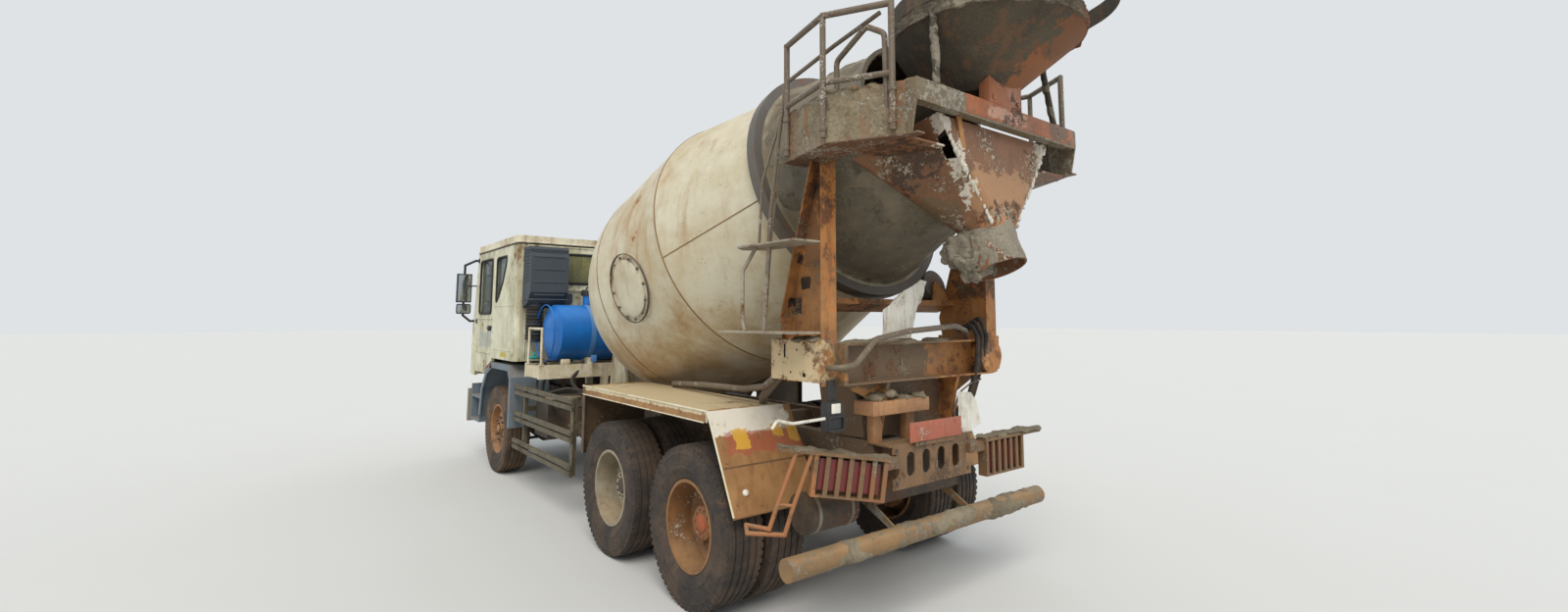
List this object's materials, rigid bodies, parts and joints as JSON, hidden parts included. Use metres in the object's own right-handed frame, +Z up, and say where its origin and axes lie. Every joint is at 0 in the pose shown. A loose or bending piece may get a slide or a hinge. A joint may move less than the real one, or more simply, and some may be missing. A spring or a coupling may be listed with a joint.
{
  "type": "concrete mixer truck",
  "caption": "Cab-over truck with a tilting cab, steered front wheels, twin rear axles and an inclined rotating drum that mixes and pours concrete.",
  "frame": {"origin": "on the ground, under the middle of the whole vehicle", "axes": "+X forward, +Y to the vehicle's left, +Z up"},
  "size_m": [8.64, 2.89, 3.83],
  "materials": {
    "frame_paint": "dusty dark paint, rust at edges",
    "subframe_paint": "dusty brown paint",
    "axle_iron": "dusty cast iron",
    "tyre": "worn rubber with brown dust",
    "front_rim_paint": "orange-brown dusty paint",
    "first_rim_paint": "grey-cream worn paint",
    "second_rim_paint": "rusty ochre paint",
    "engine_iron": "oily cast iron",
    "bumper_paint": "grey paint, dusty",
    "lamp_lens": "red lens, dusty",
    "cab_paint": "stained off-white paint",
    "roof_paint": "cream paint, chalky",
    "cab_lining": "worn grey lining",
    "glass": "dusty tinted glass",
    "seat_cloth": "dark woven cloth",
    "black_plastic": "black, dusty",
    "arch_paint": "grey-blue paint, scuffed",
    "tank_paint": "saturated blue paint, worn",
    "deck_paint": "cream paint, rust streaks",
    "guard_paint": "dark weathered paint",
    "mudguard_paint": "dusty ochre sheet",
    "drum_paint": "warm cream paint, dust and rust",
    "stand_paint": "orange rust and old paint",
    "roller_steel": "worn steel, greasy",
    "hopper_steel": "dark steel with concrete crust",
    "platform_steel": "concrete-caked grey-brown steel",
    "rail_paint": "brown-grey worn tube",
    "collector_steel": "rusty brown steel",
    "tail_paint": "rust and dust over cream paint"
  },
  "bodies": {
    "chassis": {"chassis_frame": "frame_paint", "mixer_subframe": "subframe_paint", "front_axle": "axle_iron", "rear_axles": "axle_iron", "leaf_springs": "axle_iron", "engine_block": "engine_iron", "driveline": "axle_iron", "side_tanks": "guard_paint", "front_bumper": "bumper_paint", "lamps": "lamp_lens", "arch_guards": "arch_paint", "water_tank": "tank_paint", "tank_deck": "deck_paint", "side_guards": "guard_paint", "rear_mudguards": "mudguard_paint", "front_pedestal": "deck_paint", "drum_gearbox": "engine_iron", "rear_pedestal": "stand_paint", "feed_hopper": "hopper_steel", "platform": "platform_steel", "guard_rails": "rail_paint", "ladder": "stand_paint", "collector": "collector_steel", "tail_board": "tail_paint", "underrun_bar": "tail_paint"},
    "cab": {"cab_floor": "cab_lining", "cab_rear_wall": "cab_paint", "cab_side_panels": "cab_paint", "cab_front_panel": "cab_paint", "cab_roof": "roof_paint", "cab_glass": "glass", "seats": "seat_cloth", "dashboard": "black_plastic", "mirrors": "black_plastic", "air_intake": "black_plastic"},
    "door_left": {"door_left": "cab_paint", "door_glass_left": "glass"},
    "knuckle_left": {"knuckle_left": "axle_iron"},
    "front_wheel_left": {"front_tyre_left": "tyre", "front_rim_left": "front_rim_paint"},
    "first_wheels_left": {"first_tyres_left": "tyre", "first_rims_left": "first_rim_paint"},
    "second_wheels_left": {"second_tyres_left": "tyre", "second_rims_left": "second_rim_paint"},
    "roller_left": {"roller_left": "roller_steel"},
    "door_right": {"door_right": "cab_paint", "door_glass_right": "glass"},
    "knuckle_right": {"knuckle_right": "axle_iron"},
    "front_wheel_right": {"front_tyre_right": "tyre", "front_rim_right": "front_rim_paint"},
    "first_wheels_right": {"first_tyres_right": "tyre", "first_rims_right": "first_rim_paint"},
    "second_wheels_right": {"second_tyres_right": "tyre", "second_rims_right": "second_rim_paint"},
    "roller_right": {"roller_right": "roller_steel"},
    "track_rod": {"track_rod": "axle_iron"},
    "drum": {"drum_shell": "drum_paint"}
  },
  "joints": [
    {"name": "cab_tilt", "type": "hinge", "parent": "chassis", "child": "cab", "pos_m": [4.105, 0, 1.03], "axis": [0, 1, 0], "range_deg": [0, 45]},
    {"name": "door_left_swing", "type": "hinge", "parent": "cab", "child": "door_left", "pos_m": [3.981, 1.215, 1.8], "axis": [0, 0, -1], "range_deg": [0, 70]},
    {"name": "door_right_swing", "type": "hinge", "parent": "cab", "child": "door_right", "pos_m": [3.981, -1.215, 1.8], "axis": [0, 0, 1], "range_deg": [0, 70]},
    {"name": "steer_left", "type": "hinge", "parent": "chassis", "child": "knuckle_left", "pos_m": [2.967, 0.855, 0.525], "axis": [0, 0, 1], "range_deg": [-35, 35]},
    {"name": "steer_right", "type": "hinge", "parent": "chassis", "child": "knuckle_right", "pos_m": [2.967, -0.855, 0.525], "axis": [0, 0, 1], "range_deg": [-35, 35]},
    {"name": "track_rod_swing", "type": "hinge", "parent": "knuckle_left", "child": "track_rod", "pos_m": [2.752, 0.855, 0.4], "axis": [0, 0, 1], "range_deg": [-35, 35]},
    {"name": "front_wheel_left_roll", "type": "hinge", "parent": "knuckle_left", "child": "front_wheel_left", "pos_m": [2.967, 1.03, 0.525], "axis": [0, 1, 0], "continuous": true},
    {"name": "front_wheel_right_roll", "type": "hinge", "parent": "knuckle_right", "child": "front_wheel_right", "pos_m": [2.967, -1.03, 0.525], "axis": [0, 1, 0], "continuous": true},
    {"name": "first_wheels_left_roll", "type": "hinge", "parent": "chassis", "child": "first_wheels_left", "pos_m": [-0.666, 0.94, 0.525], "axis": [0, 1, 0], "continuous": true},
    {"name": "first_wheels_right_roll", "type": "hinge", "parent": "chassis", "child": "first_wheels_right", "pos_m": [-0.666, -0.94, 0.525], "axis": [0, 1, 0], "continuous": true},
    {"name": "second_wheels_left_roll", "type": "hinge", "parent": "chassis", "child": "second_wheels_left", "pos_m": [-1.94, 0.94, 0.525], "axis": [0, 1, 0], "continuous": true},
    {"name": "second_wheels_right_roll", "type": "hinge", "parent": "chassis", "child": "second_wheels_right", "pos_m": [-1.94, -0.94, 0.525], "axis": [0, 1, 0], "continuous": true},
    {"name": "drum_spin", "type": "hinge", "parent": "chassis", "child": "drum", "pos_m": [-1.198, 0, 2.609], "axis": [-0.9553, 0, 0.2957], "continuous": true},
    {"name": "roller_left_spin", "type": "hinge", "parent": "chassis", "child": "roller_left", "pos_m": [-2.4859, 0.6466, 2.1413], "axis": [-0.9553, 0, 0.2957], "continuous": true},
    {"name": "roller_right_spin", "type": "hinge", "parent": "chassis", "child": "roller_right", "pos_m": [-2.4859, -0.6466, 2.1413], "axis": [-0.9553, 0, 0.2957], "continuous": true}
  ],
  "couplings": [
    {"joint": "steer_right", "follows": "steer_left", "ratio": 1},
    {"joint": "track_rod_swing", "follows": "steer_left", "ratio": -1},
    {"joint": "roller_left_spin", "follows": "drum_spin", "ratio": -7.4},
    {"joint": "roller_right_spin", "follows": "drum_spin", "ratio": -7.4}
  ]
}
